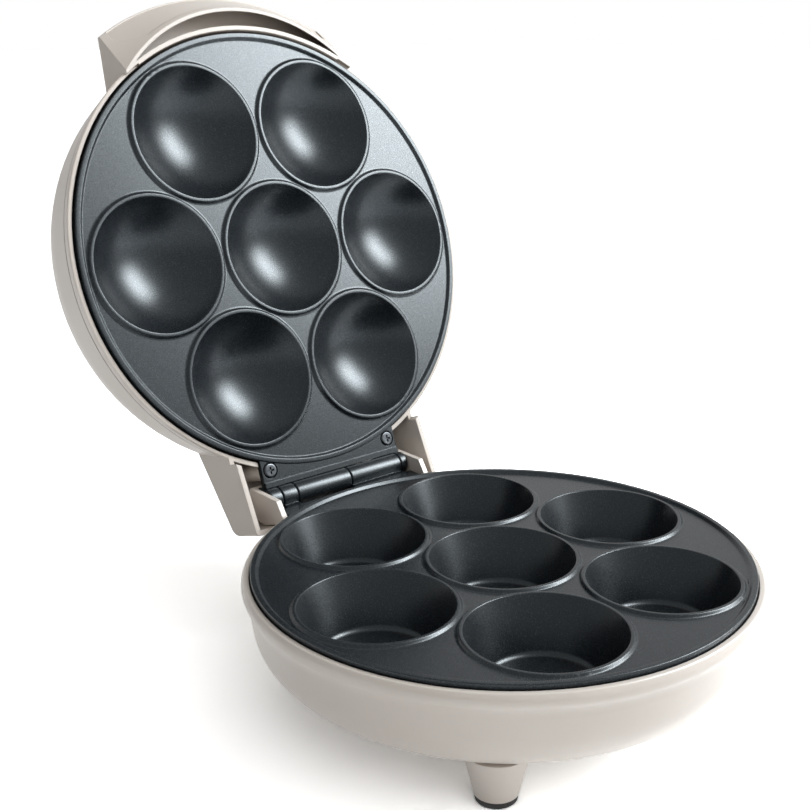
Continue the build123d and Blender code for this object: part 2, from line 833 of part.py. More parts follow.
def element_clamp(low):
    """A pressed ring that holds the element in its seat, with three arms to its screws."""
    high = low + clamp_thickness
    clamp = disc(element_circle + clamp_half_width, low, high)
    for angle in clamp_angles:
        arm = block(-clamp_arm_width / 2, clamp_arm_width / 2, 0, clamp_post_circle, low, high)
        arm += post((0, clamp_post_circle), clamp_arm_width / 2, low, high)
        clamp += Rot(0, 0, -angle) * arm
    clamp -= disc(element_circle - clamp_half_width, low - past, high + past)
    half = element_circle * sin(radians(element_gap_angle / 2)) + clamp_end_room
    clamp -= block(-half, half, element_circle - 2 * clamp_half_width,
                   element_circle + 2 * clamp_half_width, low - past, high + past)
    return clamp - merged([post(p, small_hole, low - past, high + past) for p in clamp_post_places])


def shield_dish(floor_z, rim_z, plate_radius, wall):
    """A shallow pressed dish with sloped sides that open towards its plate."""
    floor = plate_radius - shield_floor_inset
    rim = plate_radius - shield_rim_inset
    side = 1 if rim_z > floor_z else -1
    return turned(Polyline(
        (0, floor_z),
        (floor, floor_z),
        (rim, rim_z),
        (rim - wall, rim_z),
        (floor - wall * shield_corner_share, floor_z + side * wall),
        (0, floor_z + side * wall),
        close=True,
    ))


def shield_openings(low, high):
    """Room for the two element ends and for the thermostat in the middle."""
    middle = disc(thermostat_tab_half + shield_hole_margin, low, high)
    ends = [post(p, element_radius + shield_hole_margin, low, high) for p in element_end_places()]
    return merged([middle] + ends)


def lower_heat_shield():
    low = lower_shield_low - past
    high = lower_shield_low + lower_shield_wall + past
    shield = shield_dish(lower_shield_low, -lower_shield_rim_drop, lower_plate_radius, lower_shield_wall)
    shield -= shield_openings(low, high)
    shield -= merged([post(p, screw_hole, low, high) for p in plate_post_places])
    half = inlet_boss_radius + shield_hole_margin
    shield -= block(-half, half, inlet_front - shield_hole_margin, lower_plate_radius,
                    low, -lower_shield_rim_drop + past)
    reach = hood_half_width + recess_side_clearance + base_wall + shield_hole_margin
    return shield - x_rod(hood_swing + base_wall + shield_hole_margin, -reach, reach)


def upper_heat_shield():
    low = upper_shield_lift - past
    high = upper_shield_lift + upper_shield_wall + past
    shield = shield_dish(upper_shield_lift + upper_shield_wall, upper_shield_rim_lift,
                         upper_plate_radius, upper_shield_wall)
    shield -= shield_openings(low, high)
    return shield - merged([post(p, small_hole, low, high) for p in plate_post_places])


def thermostat(contact, side):
    """A disc thermostat pressed on the middle cup; side is -1 below the plate, +1 above it."""
    def span(near, far):
        return sorted((contact + side * near, contact + side * far))
    body = disc(thermostat_radius, *span(0, thermostat_height))
    z0, z1 = span(thermostat_post_height, thermostat_post_height + thermostat_tab_wall)
    tab = Pos(0, 0, z0) * extrude(SlotOverall(2 * thermostat_tab_half, thermostat_tab_width), z1 - z0)
    tab -= [post((s * thermostat_post_spacing, 0), small_hole, z0 - past, z1 + past) for s in (-1, 1)]
    z0, z1 = span(thermostat_height - lap, thermostat_height + blade_length)
    half = blade_width / 2
    blades = []
    for s in (-1, 1):
        y = s * blade_spacing / 2
        blades.append(block(-half, half, y - blade_wall / 2, y + blade_wall / 2, z0, z1))
    return body + tab + blades


def thermostat_screws(contact, side):
    seat = contact + side * (thermostat_post_height + thermostat_tab_wall)
    screws = []
    for s in (-1, 1):
        screw = small_screw(thermostat_post_height + thermostat_tab_wall)
        if side > 0:
            screw = Rot(180, 0, 0) * screw
        screws.append(Pos(s * thermostat_post_spacing, 0, seat) * screw)
    return screws


def thermal_fuse():
    """A cutout capsule in a spring clip under the lower heat shield."""
    return x_rod(fuse_radius, -fuse_length / 2, fuse_length / 2, fuse_y, fuse_z)


def fuse_clip():
    """A flat strap against the shield with a split ring below it that grips the fuse."""
    grip = fuse_radius + fuse_grip
    reach = grip + fuse_clip_arm_wall
    strap_z = lower_shield_low - fuse_clip_wall / 2
    outline = Pos(fuse_y, fuse_z) * Circle(reach)
    outline += Pos(fuse_y, strap_z) * Rectangle(fuse_clip_length, fuse_clip_wall)
    outline -= Pos(fuse_y, fuse_z) * Circle(grip)
    outline -= Pos(fuse_y, fuse_z - reach) * Rectangle(grip * fuse_clip_mouth_share, 2 * reach)
    start = Plane((-fuse_clip_width / 2, 0, 0), x_dir=(0, 1, 0), z_dir=(1, 0, 0))
    return start * extrude(outline, fuse_clip_width)


def terminal_block():
    """A ceramic block on the floor of the base where the supply leads end."""
    middle = base_floor_z + block_height / 2
    top = base_floor_z + block_height
    x_half = block_length / 2
    y_half = block_depth / 2
    body = block(-x_half, x_half, block_y - y_half, block_y + y_half, base_floor_z, top)
    for k in (-1, 0, 1):
        x = k * block_bore_spacing
        bore = Cylinder(block_bore_radius, block_depth + 2 * past)
        body -= Pos(x, block_y, middle) * Rot(90, 0, 0) * bore
        body -= post((x, block_y), block_bore_radius, middle, top + past)
    return body


def earth_tag():
    low = -earth_post_drop - earth_tag_wall
    tag = post((0, earth_post_y), earth_tag_radius, low, -earth_post_drop)
    tag += block(-earth_tag_width / 2, earth_tag_width / 2, earth_post_y - earth_tag_length, earth_post_y,
                 low, -earth_post_drop)
    return tag - post((0, earth_post_y), small_hole, low - past, -earth_post_drop + past)


def earth_screw():
    seat = -earth_post_drop - earth_tag_wall
    return Pos(0, earth_post_y, seat) * small_screw(earth_tag_wall + earth_screw_bite)


def lower_clamp_screws():
    screw = small_screw(clamp_thickness + clamp_screw_bite)
    return [Pos(x, y, lower_clamp_z - clamp_thickness) * screw for x, y in clamp_post_places]


def upper_clamp_screws():
    screw = Rot(180, 0, 0) * small_screw(clamp_thickness + clamp_screw_bite)
    return [Pos(x, y, upper_clamp_z + clamp_thickness) * screw for x, y in clamp_post_places]


def lower_plate_screws():
    screw = pan_screw(well_roof + lower_shield_wall + plate_screw_bite)
    return [Pos(x, y, lower_shield_low - well_roof) * screw for x, y in plate_post_places]


def upper_shield_screws():
    screw = Rot(180, 0, 0) * small_screw(upper_shield_wall + shield_screw_bite)
    return [Pos(x, y, upper_shield_lift + upper_shield_wall) * screw for x, y in plate_post_places]


def hinge_flange_screws():
    """Two cross-head screws through the upper plate's flange into the lid's bosses."""
    grip = flange_thickness - counterbore_depth
    screw = pan_screw(grip + flange_screw_bite, counterbore_radius - flange_screw_head_clearance,
                      flange_screw_head_height)
    seat = upper_flange_low + counterbore_depth
    return [Pos(side * flange_screw_x, flange_screw_y, seat) * screw for side in (-1, 1)]


def hinge_pin():
    return x_rod(pin_radius, -hinge_half_length - pin_end, hinge_half_length + pin_end)


# Lid housing

def lid_arcs():
    """Centres and joints of the lid's outline: two arcs and a crown above a tapered side."""
    taper = radians(lid_taper)
    side_radius = lid_edge_radius - lid_side_height * tan(taper)
    flank = (side_radius - lid_flank_radius * cos(taper), lid_side_top - lid_flank_radius * sin(taper))
    rise = lid_flank_top - flank[1]
    turn = atan2(rise, sqrt(lid_flank_radius**2 - rise**2))
    shoulder = on_arc(flank, lid_flank_radius - lid_shoulder_radius, turn)
    crown = radians(lid_crown_angle)
    crown_radius = shoulder[0] / cos(crown) + lid_shoulder_radius
    crown_z = shoulder[1] - shoulder[0] * tan(crown)
    return taper, flank, turn, shoulder, crown, crown_radius, crown_z


def lid_body(offset, low):
    """The lid's dome down to the plane z = low, or its hollow when offset inwards."""
    taper, flank, turn, shoulder, crown, crown_radius, crown_z = lid_arcs()
    flank_r = lid_flank_radius - offset
    shoulder_r = lid_shoulder_radius - offset
    crown_r = crown_radius - offset
    side_top = on_arc(flank, flank_r, taper)
    edge = (side_top[0] + (side_top[1] - low) * tan(taper), low)
    flank_end = on_arc(flank, flank_r, turn)
    shoulder_end = on_arc(shoulder, shoulder_r, crown)
    top = (0, crown_z + crown_r)
    crown_middle = on_arc((0, crown_z), crown_r, (crown + radians(90)) / 2)
    outline = (
        Line((0, low), edge)
        + Line(edge, side_top)
        + ThreePointArc(side_top, on_arc(flank, flank_r, (taper + turn) / 2), flank_end)
        + ThreePointArc(flank_end, on_arc(shoulder, shoulder_r, (turn + crown) / 2), shoulder_end)
        + ThreePointArc(shoulder_end, crown_middle, top)
        + Line(top, (0, low))
    )
    return turned(outline)


def lid_top_z(radius):
    """Height of the lid's crown at a distance from its middle."""
    crown_radius, crown_z = lid_arcs()[5:]
    return crown_z + sqrt(crown_radius**2 - radius**2)


def handle_outline(height, half, root_half, front_y, corner_y):
    """The handle in plan at one height: two straight sides and a bowed front."""
    root_y = -lid_edge_radius + handle_root_inset
    outline = (
        Line((root_half, root_y), (half, corner_y))
        + ThreePointArc((half, corner_y), (0, front_y), (-half, corner_y))
        + Line((-half, corner_y), (-root_half, root_y))
        + Line((-root_half, root_y), (root_half, root_y))
    )
    return Pos(0, 0, height) * make_face(outline)


def handle_block(offset, low, high):
    """The handle's body; its front leans outwards from the opening up to its top."""
    front_y = -lid_edge_radius - handle_low_reach
    bow = handle_low_reach + handle_low_corner_inset
    arc_radius = (handle_half_width**2 + bow**2) / (2 * bow)
    arc_y = front_y + arc_radius
    half = handle_half_width - offset
    corner_y = arc_y - sqrt((arc_radius - offset) ** 2 - half**2)
    opening = handle_outline(low, half, half, front_y + offset, corner_y)
    top = handle_outline(
        high,
        handle_half_width + handle_corner_widening - offset,
        handle_half_width + handle_root_widening - offset,
        -lid_edge_radius - handle_high_reach + offset,
        -lid_edge_radius - handle_high_corner_reach + offset,
    )
    return loft([opening, top], ruled=True)


def handle():
    """The handle with its top rounded and its front sunk inside a raised frame."""
    body = handle_block(0, 0, handle_height)
    body = fillet(body.edges().group_by(Axis.Z)[-1], handle_round)
    half = handle_half_width - panel_side_inset
    front = block(-half, half, -lid_edge_radius - 2 * handle_high_reach, -lid_edge_radius + lid_edge_width,
                  panel_inset, handle_height - panel_inset)
    body -= front - handle_block(panel_depth, 0, handle_height)
    return body - disc(lid_edge_radius - past, -past, lid_edge_lift)


def front_lip():
    """The lid's rim between the handle's ends, which reaches down to the base."""
    reach = 2 * lid_edge_radius
    corners = [(s * reach * sin(radians(lip_half_angle)), -reach * cos(radians(lip_half_angle)))
               for s in (1, -1)]
    wedge = make_face(Polyline((0, 0), corners[0], (0, -reach), corners[1], close=True))
    wedge = extrude(wedge, handle_height)
    return wedge & ring(lid_edge_radius - lip_wall, lid_edge_radius, 0, lid_edge_lift + lap)


def hood_outline(offset):
    """Side view of the hood, or of its hollow, which runs on below when offset inwards."""
    slope = radians(hood_slope)
    back = hood_back_y - offset
    below = base_edge_drop + skirt_drop if offset else 0
    root_y = hinge_y - hood_root_inset

    def top_z(y):
        return hinge_z + hood_rise + (hood_back_y - y) * tan(slope) - offset / cos(slope)

    return Polyline(
        (root_y, hinge_z - hood_front_drop - below),
        (hinge_y - hood_front_inset, hinge_z - hood_front_drop - below),
        (back, hood_low_z - below),
        (back, top_z(back)),
        (root_y, top_z(root_y)),
        close=True,
    )


def hood_block(offset):
    half = hood_half_width - offset
    solid = side_prism(hood_outline(offset), -half, half)
    corner = solid.edges().filter_by(Axis.X).sort_by(Axis.Y)[-2:].sort_by(Axis.Z)[-1]
    solid = fillet(corner, hood_back_round - offset)
    if offset:
        return solid
    rails = [e for e in solid.edges() if e.length > hood_reach and abs(abs(e.center().X) - half) < 0.01]
    upper = [e for e in rails if e.center().Z > hinge_z + hood_rise / 2]
    return fillet(upper, hood_rail_round)


def lid_housing():
    beyond = 2 * lid_edge_radius
    trim = disc(base_lip_radius + hood_trim_clearance, hood_low_z - past, lid_edge_lift)
    dome = lid_body(0, lid_edge_lift)
    dome = fillet(dome.edges().filter_by(GeomType.CIRCLE).sort_by(Axis.Z)[0], lid_edge_round)
    shell = dome + (hood_block(0) - trim) + handle() + front_lip()
    shell -= handle_block(handle_wall, -past, handle_height - handle_wall) - lid_body(0, -past)
    shell -= lid_body(lid_wall, -past)
    below_edge = block(-beyond, beyond, 0, hinge_y - hood_front_inset + past, -beyond, lid_edge_lift)
    shell -= hood_block(hood_wall) - lid_body(0, lid_edge_lift) - below_edge
    half = flange_half_width + flange_room
    room_top = hinge_z + barrel_radius + plate_under_gap
    shell -= block(-half, half, hinge_y - hood_front_inset, hinge_y - barrel_radius - past, -past, room_top)
    shell -= lid_seam()
    screw_places = [(side * flange_screw_x, flange_screw_y) for side in (-1, 1)]
    bosses = [post(p, flange_boss_radius, upper_flange_top, flange_boss_top) for p in screw_places]
    skirt_top = upper_rim_z + skirt_drop + plate_under_gap
    bosses = merged(bosses) - disc(upper_plate_radius + lid_plate_gap, 0, skirt_top)
    bosses -= block(-half, half, upper_flange_reach - flange_web_room, hinge_y, 0, room_top)
    shell += bosses
    shell += [lid_ledge(side) for side in (-1, 1)]
    shell += [lamp_pillar(side) for side in (-1, 1)]
    hole_top = upper_flange_top + flange_screw_bite + screw_tip_room
    shell -= [post(p, screw_hole, upper_flange_top - past, hole_top) for p in screw_places]
    for side in (-1, 1):
        shell -= post((side * lamp_spacing / 2, lamp_y), lens_radius + lens_clearance,
                      lamp_bar_top(), lid_top_z(0) + past)
        shell -= post((side * lamp_screw_x, lamp_y), small_hole, lamp_bar_top() - past,
                      lamp_bar_top() + lamp_screw_bite + lamp_screw_room)
    return shell


def lid_seam():
    """A shallow line round the lid's side above its edge."""
    seam_radius = lid_edge_radius - (lid_seam_lift - lid_edge_lift) * tan(radians(lid_taper))
    groove = ring(seam_radius - lid_seam_depth, lid_edge_radius + past,
                  lid_seam_lift, lid_seam_lift + lid_seam_width)
    beyond = 2 * lid_edge_radius
    front = -lid_edge_radius + handle_root_inset - handle_root_widening
    return groove & block(-beyond, beyond, front, hinge_y - hood_front_inset - hood_rail_round,
                          0, lid_side_top)


def lid_ledge(side):
    """A ledge inside the lid's front wall that the upper plate's hook catches."""
    x0 = side * hook_x - hook_width / 2 - ledge_widening
    x1 = side * hook_x + hook_width / 2 + ledge_widening
    top = hook_top_z - hook_wall - hook_gap
    shelf = block(x0, x1, -lid_edge_radius, hook_y - hook_gap, top - ledge_wall, top)
    return shelf & lid_body(lid_wall / 4, lid_edge_lift)


# Lamps, their holder and lenses

def lamp_bar_top():
    """Height of the lamp holder's upper face, below the thinnest part of the lid above it."""
    return lid_top_z(sqrt(lamp_y**2 + lamp_screw_x**2)) - lid_wall - lamp_bar_gap


def lamp_pillar(side):
    low = lamp_bar_top()
    pillar = post((side * lamp_screw_x, lamp_y), lamp_pillar_radius, low, low + 2 * lamp_bar_gap)
    return pillar & lid_body(lid_wall / 4, lid_edge_lift)


def lamp_lens(side):
    """A clear dome through the lid's top, on a hollow shank that stands on the holder."""
    x = side * lamp_spacing / 2
    seat = lid_top_z(sqrt(x**2 + lamp_y**2))
    base = seat + lens_flange_wall
    crown_radius = (lens_flange_radius**2 + lens_rise**2) / (2 * lens_rise)
    cap = Pos(0, 0, base + lens_rise - crown_radius) * Sphere(crown_radius)
    cap = cap & disc(lens_flange_radius, base, base + lens_rise + past)
    shank = disc(lens_radius, lamp_bar_top(), base + lens_rise / 2)
    hollow = disc(lens_radius - lens_wall, lamp_bar_top() - past, seat - lens_wall / 2)
    return Pos(x, lamp_y, 0) * (shank + cap - hollow)


def lamp_holder():
    """A bar under the lid's top that carries the two lamps in tubes below their lenses."""
    top = lamp_bar_top()
    tube_low = top - lamp_tube_length
    half = lamp_screw_x + lamp_bar_width / 2
    bar = Pos(0, lamp_y, top - lamp_bar_wall) * extrude(SlotOverall(2 * half, lamp_bar_width), lamp_bar_wall)
    for side in (-1, 1):
        place = (side * lamp_spacing / 2, lamp_y)
        bar += post(place, lamp_radius + lamp_tube_wall, tube_low, top)
        bar -= post(place, lamp_radius + lamp_clearance, tube_low + lamp_tube_floor, top + past)
        bar -= post((side * lamp_screw_x, lamp_y), small_hole, top - lamp_bar_wall - past, top + past)
    return bar


def lamp_holder_screws():
    screw = small_screw(lamp_bar_wall + lamp_screw_bite)
    return [Pos(side * lamp_screw_x, lamp_y, lamp_bar_top() - lamp_bar_wall) * screw for side in (-1, 1)]


def indicator_lamps():
    low = lamp_bar_top() - lamp_tube_length + lamp_tube_floor
    bulb = disc(lamp_radius, low, low + lamp_length)
    bulb = fillet(bulb.edges().sort_by(Axis.Z)[-1], lamp_tip_round)
    return [Pos(side * lamp_spacing / 2, lamp_y, 0) * bulb for side in (-1, 1)]


def write(name, shapes, place):
    """Write one node; shapes is one solid or a list of separate solids."""
    if not isinstance(shapes, list):
        shapes = [shapes]
    solids = []
    for shape in shapes:
        solids += place(shape).solids()
    whole = solids[0] if len(solids) == 1 else Compound(children=solids)
    whole.label = name
    export_step(whole, f"parts/{name}.step")


base_pieces = {
    "base_housing": base_housing(),
    "rubber_feet": rubber_feet(),
    "cord_inlet_bushing": cord_inlet_bushing(),
    "lower_cooking_plate": lower_cooking_plate(),
    "lower_heating_element": heating_element(-lower_element_drop, -1),
    "lower_element_clamp": element_clamp(lower_clamp_z - clamp_thickness),
    "lower_clamp_screws": lower_clamp_screws(),
    "lower_heat_shield": lower_heat_shield(),
    "lower_plate_screws": lower_plate_screws(),
    "lower_thermostat": thermostat(cup_base_z, -1),
    "lower_thermostat_screws": thermostat_screws(cup_base_z, -1),
    "thermal_fuse": thermal_fuse(),
    "fuse_clip": fuse_clip(),
    "terminal_block": terminal_block(),
    "earth_tag": earth_tag(),
    "earth_screw": earth_screw(),
    "hinge_pin": hinge_pin(),
}
lid_pieces = {
    "lid_housing": lid_housing(),
    "upper_cooking_plate": upper_cooking_plate(),
    "hinge_flange_screws": hinge_flange_screws(),
    "upper_heating_element": heating_element(upper_element_lift, 1),
    "upper_element_clamp": element_clamp(upper_clamp_z),
    "upper_clamp_screws": upper_clamp_screws(),
    "upper_heat_shield": upper_heat_shield(),
    "upper_shield_screws": upper_shield_screws(),
    "upper_thermostat": thermostat(dome_top_z, 1),
    "upper_thermostat_screws": thermostat_screws(dome_top_z, 1),
    "power_lamp_lens": lamp_lens(-1),
    "ready_lamp_lens": lamp_lens(1),
    "lamp_holder": lamp_holder(),
    "lamp_holder_screws": lamp_holder_screws(),
    "indicator_lamps": indicator_lamps(),
}

os.makedirs("parts", exist_ok=True)
for name, shapes in base_pieces.items():
    write(name, shapes, placed_base)
for name, shapes in lid_pieces.items():
    write(name, shapes, placed_lid)
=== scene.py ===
import json
from math import atan2, ceil, cos, degrees, hypot, pi, radians, sin, sqrt, tan

import bmesh
import bpy
from mathutils import Matrix, Vector
from mathutils.geometry import delaunay_2d_cdt


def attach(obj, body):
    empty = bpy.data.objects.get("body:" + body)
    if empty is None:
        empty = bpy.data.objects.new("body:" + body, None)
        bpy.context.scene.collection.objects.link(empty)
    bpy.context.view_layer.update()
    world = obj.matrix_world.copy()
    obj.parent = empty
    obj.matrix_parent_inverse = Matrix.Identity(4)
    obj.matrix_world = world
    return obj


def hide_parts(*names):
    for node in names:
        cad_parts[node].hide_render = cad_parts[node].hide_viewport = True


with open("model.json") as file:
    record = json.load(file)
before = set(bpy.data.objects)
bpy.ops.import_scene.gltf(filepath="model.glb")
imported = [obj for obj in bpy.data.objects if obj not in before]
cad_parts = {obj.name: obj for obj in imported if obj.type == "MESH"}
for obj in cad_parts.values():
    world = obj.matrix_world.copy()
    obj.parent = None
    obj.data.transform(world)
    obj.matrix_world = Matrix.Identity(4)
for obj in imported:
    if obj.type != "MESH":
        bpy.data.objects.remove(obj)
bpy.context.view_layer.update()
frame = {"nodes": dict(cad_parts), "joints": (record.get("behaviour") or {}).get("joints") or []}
nodes = frame["nodes"]
MM = 0.001

# The hinge's place, and how far the lid is swung open at rest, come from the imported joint
hinge = frame["joints"][0]
hinge_place = Vector(hinge["pos_m"])
open_angle = radians(max(hinge["range_deg"]))
lid_opens = (Matrix.Translation(hinge_place) @ Matrix.Rotation(-open_angle, 4, "X")
             @ Matrix.Translation(-hinge_place))
rim_height = 59.1 * MM

# Cooking plates, in millimetres above the lower plate's rim with the lid closed
cup_rim_radius = 31.1
cup_ring_radius = 67.3
ring_cups = 6
first_cup_degrees = 30
cup_depth = 23.0
cup_taper_run = 8.5
cup_slope = cup_taper_run / cup_depth
cup_floor_round = 3.0
lower_cup_wall = 2.8
floor_spread = 0.9   # how far a cup's outside spreads at its floor, as a share of its wall
round_growth = 0.6   # how much larger the rounding there is, as a share of its wall
dome_depth = 17.0
dome_wall = 1.6
bead_width = 3.2
bead_height = 1.3
lip_round = 0.45
plate_step = 1.4
rim_width = 2.2
rim_slope = 1.2
rim_round = 0.4
skirt_drop = 6.0
skirt_wall = 2.2
skirt_round = 0.3
flat_margin = 0.4
plates = {
    "lower": {"side": -1, "outer": 105.0, "rim_z": 0.0, "wall": 3.2},
    "upper": {"side": 1, "outer": 104.5, "rim_z": 0.4, "wall": 1.7},
}

# Hinge leaves, in the same millimetres
hinge_y = 116.0
hinge_z = 0.5
barrel_radius = 5.3
barrel_round = 0.6
bore_radius = 1.8
knuckle_lengths = (6.2, 8.4, 31.4, 31.1, 4.1)
knuckle_gap = 0.4
hinge_half = sum(knuckle_lengths) / 2
flange_inset = 1.0
flange_half = hinge_half - flange_inset
flange_thickness = 3.0
lower_flange_gap = 8.2
upper_flange_gap = 5.6
lower_flange_drop = 0.2
upper_flange_recess = 0.6
web_overlap = 1.0
ridge_width = 2.6
ridge_height = 0.9
screw_inset = 4.6
screw_back = 7.9
recess_radius = 3.9
recess_depth = 1.0

# How finely round forms are divided, and how near points may be before they are joined
cup_steps = 144
rim_steps = 288
barrel_steps = 72
dome_steps = 30
leaf_steps = 48
turn_degrees = 12
least_turn_steps = 3
nearly_zero = 1e-6
join_distance = 0.002
fill_hull, fill_outline = 0, 1   # what a triangulation fills: all of it, or its outline

# Edges that turn by more than this stay sharp
skin_sharp_angle = radians(32)
cad_sharp_angle = radians(30)

cup_angles = [radians(first_cup_degrees + 360 / ring_cups * k) for k in range(ring_cups)]
cup_places = [(0.0, 0.0)] + [
    (cup_ring_radius * sin(angle), cup_ring_radius * cos(angle)) for angle in cup_angles]

# The bead round a cup: share of its width, and share of its height there
bead_shape = [(0.0, 1.0), (0.10, 1.0), (0.15, 0.985), (0.20, 0.94), (0.25, 0.86),
              (0.30, 0.76), (0.48, 0.36), (0.54, 0.24), (0.61, 0.145), (0.70, 0.07),
              (0.80, 0.025), (0.91, 0.004), (1.0, 0.0), (1.06, 0.0)]


# Mesh helpers

def rounded(corners):
    """Points along a line through corners (radius, height, rounding)."""
    points = []
    for k, (x, z, size) in enumerate(corners):
        here = Vector((x, z))
        if not size:
            points.append(here)
            continue
        back = (Vector(corners[k - 1][:2]) - here).normalized()
        ahead = (Vector(corners[k + 1][:2]) - here).normalized()
        half = back.angle(ahead) / 2
        centre = here + (back + ahead).normalized() * size / sin(half)
        start = here + back * size / tan(half) - centre
        end = here + ahead * size / tan(half) - centre
        turn = pi - 2 * half
        steps = max(least_turn_steps, ceil(degrees(turn) / turn_degrees))
        for j in range(steps + 1):
            share = j / steps
            swung = start * sin(turn * (1 - share)) + end * sin(turn * share)
            points.append(centre + swung / sin(turn))
    return points


def circle(centre, radius, steps):
    """Points evenly spaced round a centre."""
    angles = [2 * pi * k / steps for k in range(steps)]
    return [(centre[0] + radius * cos(angle), centre[1] + radius * sin(angle))
            for angle in angles]


def spin(mesh, profile, centre=(0.0, 0.0), steps=rim_steps, place=Matrix.Identity(4)):
    """Faces swept round an upright axis from points (radius, height), then put in place."""
    rings = []
    for radius, height in profile:
        points = circle(centre, radius, steps) if radius > nearly_zero else [centre]
        rings.append([mesh.verts.new(place @ Vector((*point, height))) for point in points])
    for near, far in zip(rings, rings[1:]):
        for k in range(steps):
            corners = [near[k % len(near)], near[(k + 1) % len(near)],
                       far[(k + 1) % len(far)], far[k % len(far)]]
            mesh.faces.new(list(dict.fromkeys(corners)))


def loop_edges(first, count):
    """Edges that join a run of points into a closed loop."""
    return [(first + k, first + (k + 1) % count) for k in range(count)]


def cup_distance(x, y):
    """Distance from the middle of the nearest cup."""
    return min(hypot(x - u, y - v) for u, v in cup_places)


def bead_share(distance, inner, width):
    """Share of the bead's height at a distance from the middle of its cup."""
    share = (distance - inner) / width
    for (x0, h0), (x1, h1) in zip(bead_shape, bead_shape[1:]):
        if share <= x1:
            return h0 + (h1 - h0) * max(share - x0, 0.0) / (x1 - x0)
    return 0.0


def triangulated(points, edges, fill):
    """The points and faces of a flat region, with each face's middle."""
    flat = [Vector(point) for point in points]
    verts, _, faces = delaunay_2d_cdt(flat, edges, [], fill, nearly_zero)[:3]
    middles = [sum((verts[k] for k in face), Vector((0, 0))) / len(face) for face in faces]
    return verts, list(zip(faces, middles))


def holed_sheet(mesh, height, outer, hole_radius, rise=0.0, width=0.0):
    """A round sheet with a hole at each cup, and a bead round each hole where it has a rise."""
    points = circle((0, 0), outer, rim_steps)
    edges = loop_edges(0, rim_steps)
    if rise:
        points += circle((0, 0), outer - flat_margin, rim_steps)
    shares = [share for share, _ in bead_shape] if rise else [0.0]
    for centre in cup_places:
        for share in shares:
            radius = hole_radius + share * width
            ring = circle(centre, radius, cup_steps)
            if share == 0.0:
                edges += loop_edges(len(points), cup_steps)
                points += ring
            else:
                clear = radius - flat_margin / 4
                points += [point for point in ring if cup_distance(*point) > clear]
    verts, faces = triangulated(points, edges, fill_hull)
    made = []
    for place in verts:
        share = bead_share(cup_distance(*place), hole_radius, width) if rise else 0.0
        made.append(mesh.verts.new((place.x, place.y, height + rise * share)))
    for face, middle in faces:
        if cup_distance(*middle) > hole_radius:
            mesh.faces.new([made[k] for k in face])


def slab(mesh, outline, face_z, back_z, pockets=()):
    """A flat plate of any outline; its face may have round pockets (centre, radius, floor)."""
    points = list(outline)
    edges = loop_edges(0, len(outline))
    for centre, radius, _ in pockets:
        edges += loop_edges(len(points), barrel_steps)
        points += circle(centre, radius, barrel_steps)
    verts, faces = triangulated(points, edges, fill_outline)
    front = [mesh.verts.new((*place, face_z)) for place in verts]
    for face, middle in faces:
        if all(hypot(middle.x - c[0], middle.y - c[1]) > r for c, r, _ in pockets):
            mesh.faces.new([front[k] for k in face])
    near = [mesh.verts.new((*place, face_z)) for place in outline]
    far = [mesh.verts.new((*place, back_z)) for place in outline]
    mesh.faces.new(far)
    for k in range(len(outline)):
        after = (k + 1) % len(outline)
        mesh.faces.new([near[k], near[after], far[after], far[k]])
    for centre, radius, floor in pockets:
        spin(mesh, [(radius, face_z), (radius, floor), (0.0, floor)], centre, barrel_steps)


def box_slab(mesh, x0, x1, y0, y1, z0, z1):
    """A plain block between six planes."""
    slab(mesh, [(x0, y0), (x1, y0), (x1, y1), (x0, y1)], z0, z1)


def finished(mesh, name, body, replaced):
    """Makes a coated piece of a mesh drawn in millimetres, and rides it on its body."""
    bmesh.ops.remove_doubles(mesh, verts=mesh.verts, dist=join_distance)
    bmesh.ops.recalc_face_normals(mesh, faces=mesh.faces)
    place = Matrix.Translation((0, 0, rim_height)) @ Matrix.Scale(MM, 4)
    if body == "lid":
        place = lid_opens @ place
    bmesh.ops.transform(mesh, matrix=place, verts=mesh.verts)
    data = bpy.data.meshes.new(name)
    mesh.to_mesh(data)
    mesh.free()
    data.materials.append(coating)
    data.shade_smooth()
    data.set_sharp_from_angle(angle=skin_sharp_angle)
    piece = bpy.data.objects.new(name, data)
    bpy.context.scene.collection.objects.link(piece)
    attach(piece, body)
    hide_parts(replaced)


# Cooking plates, with their hinge leaves

def cup_profile(offset, mouth_z, mouth_round):
    """A tapered cup from its mouth to the middle of its floor, or its outside when offset."""
    mouth_radius = cup_rim_radius + offset + mouth_z * cup_slope
    floor_radius = cup_rim_radius - cup_taper_run + offset * floor_spread
    floor_z = -cup_depth - offset
    return [(mouth_radius, mouth_z, mouth_round),
            (floor_radius, floor_z, cup_floor_round + offset * round_growth),
            (0.0, floor_z, 0.0)]


def dome_profile(offset, mouth_z, from_z, mouth_round):
    """A round dome from its mouth to its top, or its outside when offset."""
    sphere = (cup_rim_radius**2 + dome_depth**2) / (2 * dome_depth)
    centre_z = mouth_z + dome_depth - sphere
    sphere += offset
    first = atan2(from_z - centre_z, sqrt(sphere**2 - (from_z - centre_z) ** 2))
    corners = [(sphere * cos(first), from_z, mouth_round)]
    for k in range(1, dome_steps):
        angle = first + (pi / 2 - first) * k / dome_steps
        corners.append((sphere * cos(angle), centre_z + sphere * sin(angle), 0.0))
    return corners + [(0.0, centre_z + sphere, 0.0)]


def knuckle_spans(parity):
    """Spans along X of every second barrel."""
    spans = []
    start = -hinge_half
    last = len(knuckle_lengths) - 1
    for k, length in enumerate(knuckle_lengths):
        low = start + (knuckle_gap / 2 if k > 0 else 0)
        high = start + length - (knuckle_gap / 2 if k < last else 0)
        if k % 2 == parity:
            spans.append((low, high))
        start += length
    return spans


